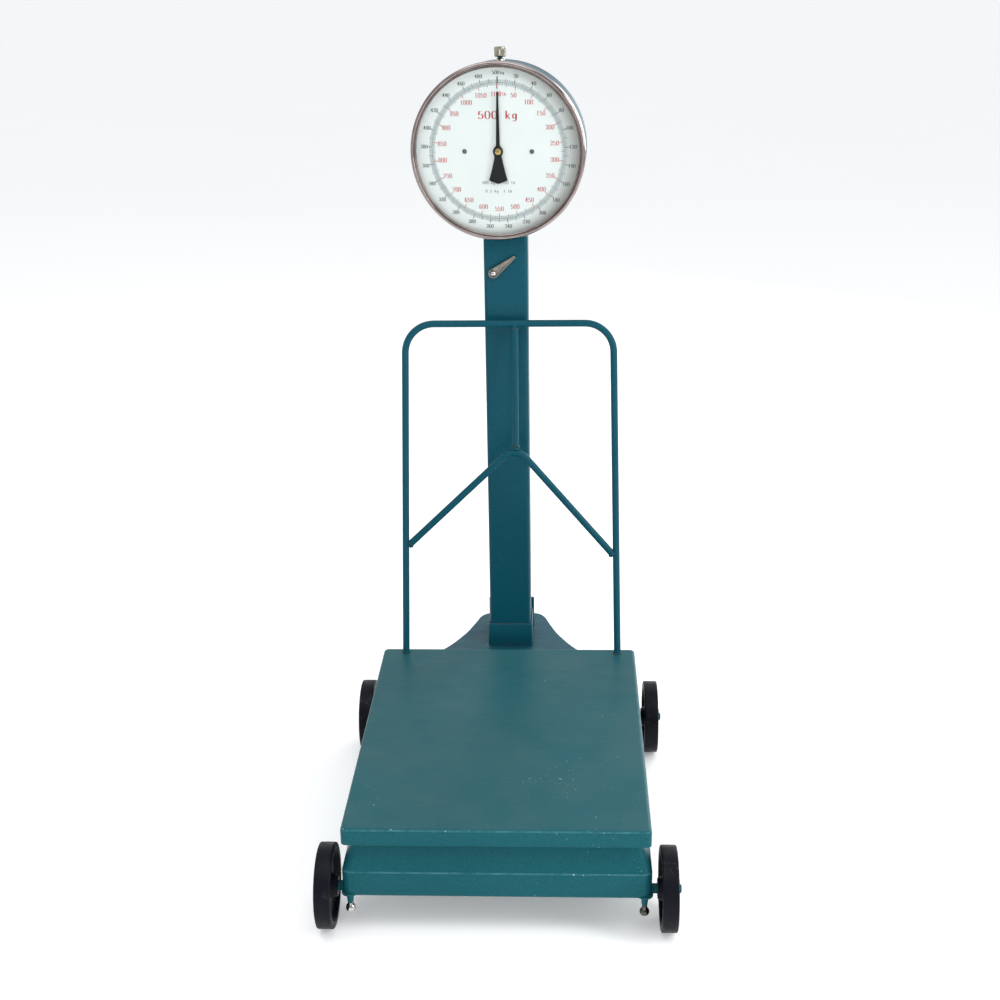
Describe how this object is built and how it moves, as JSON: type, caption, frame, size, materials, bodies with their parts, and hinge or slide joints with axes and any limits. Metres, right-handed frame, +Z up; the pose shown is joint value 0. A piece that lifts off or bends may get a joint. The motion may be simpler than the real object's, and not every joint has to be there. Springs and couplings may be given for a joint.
{
  "type": "mechanical dial platform scale",
  "caption": "Portable platform scale on wheels: a steel deck on levers, a guard rail, and a column that carries a round spring-balance dial head.",
  "frame": {"origin": "on the floor, at the middle of the object's length and width", "axes": "+Z up, -Y towards the user who stands in front of the deck, +X to the user's right"},
  "size_m": [0.544, 0.8626, 1.215],
  "materials": {
    "enamel": "semi-gloss teal stoving enamel, lightly worn",
    "cast_iron": "black painted casting, scuffed",
    "chrome": "bright chrome plate",
    "nickel": "dull nickel plate",
    "steel": "bright turned steel",
    "brass": "turned brass",
    "pointer_black": "satin black",
    "dial_enamel": "matt off-white with printed scales",
    "glass": "clear flat glass"
  },
  "bodies": {
    "frame": {"base_frame": "enamel", "neck": "enamel", "column_socket": "enamel", "column": "enamel", "front_axle": "enamel", "rear_axle": "enamel", "cotter_pin_front_left": "steel", "cotter_pin_front_right": "steel", "cotter_pin_rear_left": "steel", "cotter_pin_rear_right": "steel", "fulcrum_stand_front_left": "cast_iron", "fulcrum_stand_front_right": "cast_iron", "fulcrum_stand_rear_left": "cast_iron", "fulcrum_stand_rear_right": "cast_iron", "movement_frame": "brass", "drum": "enamel", "bezel": "chrome", "dial_glass": "glass", "dial_plate": "dial_enamel", "dial_screw_left": "steel", "dial_screw_right": "steel"},
    "platform": {"deck": "enamel", "deck_bearing_front_left": "steel", "deck_bearing_front_right": "steel", "deck_bearing_rear_left": "steel", "deck_bearing_rear_right": "steel", "rail_hoop": "enamel", "rail_brace": "enamel", "rail_strut": "enamel"},
    "long_lever": {"long_lever": "cast_iron", "long_fulcrum_pivot": "steel", "long_load_pivot": "steel", "long_nose_pivot": "steel"},
    "short_lever": {"short_lever": "cast_iron", "short_fulcrum_pivot": "steel", "short_load_pivot": "steel"},
    "transfer_link": {"transfer_link": "steel"},
    "pull_rod": {"pull_rod": "steel", "crosshead": "steel", "rack": "brass", "spring_left": "steel", "spring_right": "steel"},
    "pointer": {"pinion_arbor": "brass", "pointer": "pointer_black", "pointer_nut": "brass"},
    "zero_knob": {"zero_knob": "nickel", "zero_screw": "chrome"},
    "spring_hanger": {"spring_hanger": "steel"},
    "lock": {"lock_lever": "nickel", "lock_screw": "steel", "lock_cam": "steel"},
    "wheel_front_left": {"wheel_front_left": "cast_iron"},
    "foot_front_left": {"foot_front_left": "chrome"},
    "wheel_front_right": {"wheel_front_right": "cast_iron"},
    "foot_front_right": {"foot_front_right": "chrome"},
    "wheel_rear_left": {"wheel_rear_left": "cast_iron"},
    "foot_rear_left": {"foot_rear_left": "chrome"},
    "wheel_rear_right": {"wheel_rear_right": "cast_iron"},
    "foot_rear_right": {"foot_rear_right": "chrome"}
  },
  "joints": [
    {"name": "pointer_turn", "type": "hinge", "parent": "frame", "child": "pointer", "pos_m": [-0.00598, 0.32125, 1.051], "axis": [0.0837, 0.9965, 0], "range_deg": [0, 360]},
    {"name": "rod_slide", "type": "slide", "parent": "frame", "child": "pull_rod", "axis": [0, 0, -1], "range_m": [0, 0.0252], "deforming": ["spring_left", "spring_right"]},
    {"name": "long_lever_tilt", "type": "hinge", "parent": "frame", "child": "long_lever", "pos_m": [0, -0.34175, 0.13], "axis": [-1, 0, 0], "range_deg": [0, 2.2]},
    {"name": "short_lever_tilt", "type": "hinge", "parent": "frame", "child": "short_lever", "pos_m": [0, 0.13825, 0.13], "axis": [1, 0, 0], "range_deg": [0, 2.2]},
    {"name": "link_slide", "type": "slide", "parent": "frame", "child": "transfer_link", "axis": [0, 0, -1], "range_m": [0, 0.0092]},
    {"name": "platform_slide", "type": "slide", "parent": "frame", "child": "platform", "axis": [0, 0, -1], "range_m": [0, 0.000948], "stiffness_N_per_m": 5220000, "springref_m": -0.0001},
    {"name": "zero_knob_turn", "type": "hinge", "parent": "frame", "child": "zero_knob", "pos_m": [-0.00598, 0.32125, 1.207], "axis": [0, 0, 1], "range_deg": [-720, 720]},
    {"name": "hanger_slide", "type": "slide", "parent": "frame", "child": "spring_hanger", "axis": [0, 0, 1], "range_m": [-0.002, 0.002]},
    {"name": "lock_turn", "type": "hinge", "parent": "frame", "child": "lock", "pos_m": [-0.021, 0.28025, 0.847], "axis": [0, 1, 0], "range_deg": [0, 90]},
    {"name": "wheel_front_left_turn", "type": "hinge", "parent": "frame", "child": "wheel_front_left", "pos_m": [-0.253, -0.36775, 0.0635], "axis": [1, 0, 0], "continuous": true},
    {"name": "wheel_front_right_turn", "type": "hinge", "parent": "frame", "child": "wheel_front_right", "pos_m": [0.253, -0.36775, 0.0635], "axis": [1, 0, 0], "continuous": true},
    {"name": "wheel_rear_left_turn", "type": "hinge", "parent": "frame", "child": "wheel_rear_left", "pos_m": [-0.253, 0.16425, 0.0635], "axis": [1, 0, 0], "continuous": true},
    {"name": "wheel_rear_right_turn", "type": "hinge", "parent": "frame", "child": "wheel_rear_right", "pos_m": [0.253, 0.16425, 0.0635], "axis": [1, 0, 0], "continuous": true},
    {"name": "foot_front_left_screw", "type": "slide", "parent": "frame", "child": "foot_front_left", "axis": [0, 0, -1], "range_m": [0, 0.029]},
    {"name": "foot_front_right_screw", "type": "slide", "parent": "frame", "child": "foot_front_right", "axis": [0, 0, -1], "range_m": [0, 0.029]},
    {"name": "foot_rear_left_screw", "type": "slide", "parent": "frame", "child": "foot_rear_left", "axis": [0, 0, -1], "range_m": [0, 0.029]},
    {"name": "foot_rear_right_screw", "type": "slide", "parent": "frame", "child": "foot_rear_right", "axis": [0, 0, -1], "range_m": [0, 0.029]}
  ],
  "couplings": [
    {"joint": "pointer_turn", "follows": "platform_slide", "rad_per_m": 6625},
    {"joint": "rod_slide", "follows": "platform_slide", "ratio": 26.5},
    {"joint": "long_lever_tilt", "follows": "platform_slide", "rad_per_m": 40},
    {"joint": "short_lever_tilt", "follows": "platform_slide", "rad_per_m": 40},
    {"joint": "link_slide", "follows": "platform_slide", "ratio": 9.6},
    {"joint": "zero_knob_turn", "follows": "hanger_slide", "rad_per_m": -6283.2}
  ]
}
